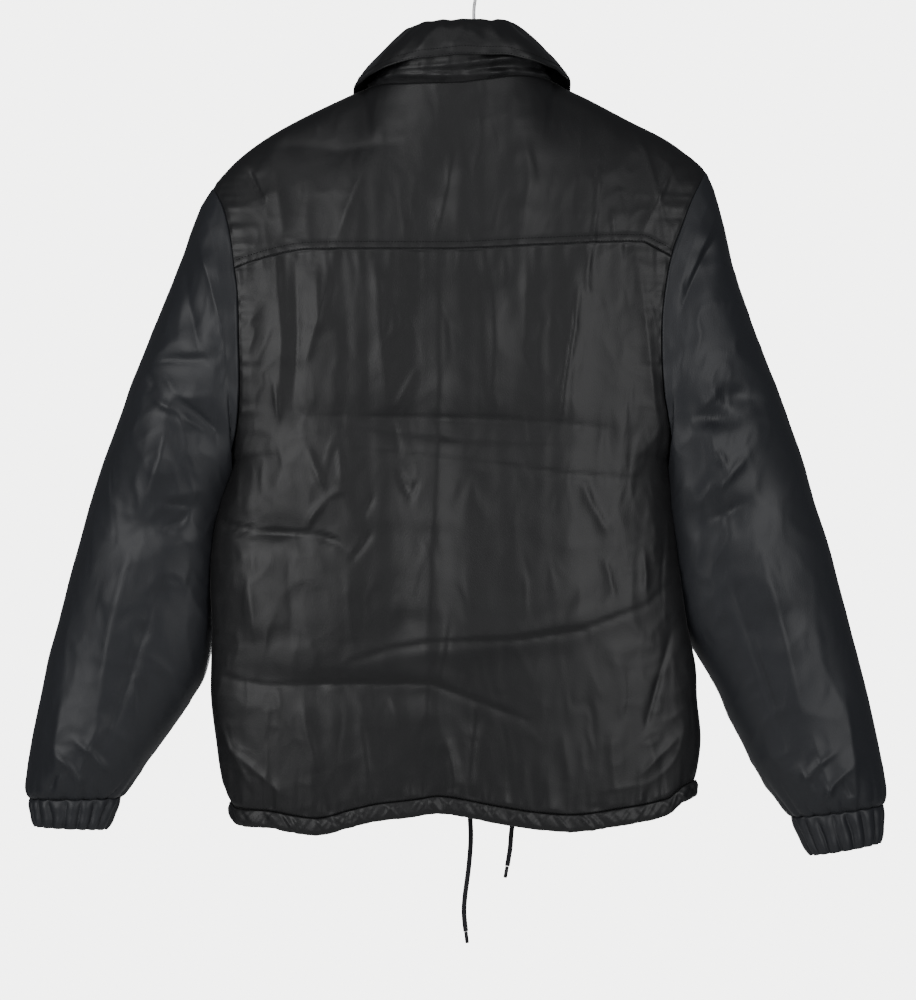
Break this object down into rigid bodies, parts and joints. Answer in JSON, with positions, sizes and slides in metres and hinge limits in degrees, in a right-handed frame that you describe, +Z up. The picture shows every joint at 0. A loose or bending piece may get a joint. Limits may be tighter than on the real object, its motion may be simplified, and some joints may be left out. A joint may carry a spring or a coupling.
{
  "type": "coach jacket on a hanger",
  "caption": "Padded nylon coach jacket with turned-down collar, elastic cuffs and drawcord hem, hanging on a plain bar hanger with a wire hook",
  "frame": {"origin": "the inside top of the hanger's hook, where it rests on what it hangs from", "axes": "+Z up, +Y towards the wearer's back, +X towards the wearer's left"},
  "size_m": [0.842, 0.1302, 0.9519],
  "materials": {
    "shell": "black woven nylon taffeta with a soft sheen",
    "cord": "black braided cord",
    "trim_metal": "black enamelled metal",
    "hanger_bar": "plain moulded plastic",
    "hook_wire": "plain steel wire"
  },
  "bodies": {
    "root": {"back_yoke": "shell", "back_panel": "shell", "front_left": "shell", "front_right": "shell", "hem_back": "shell", "hem_front_left": "shell", "hem_front_right": "shell", "collar_stand": "shell", "collar_leaf": "shell", "sleeve_left": "shell", "sleeve_right": "shell", "cuff_left": "shell", "cuff_right": "shell", "snap_1": "trim_metal", "snap_2": "trim_metal", "snap_3": "trim_metal", "snap_4": "trim_metal", "snap_5": "trim_metal", "snap_6": "trim_metal", "eyelet_left": "trim_metal", "eyelet_right": "trim_metal", "cord_left": "cord", "cord_right": "cord", "aglet_left": "trim_metal", "aglet_right": "trim_metal", "hanger": "hanger_bar", "hook": "hook_wire"}
  },
  "joints": []
}
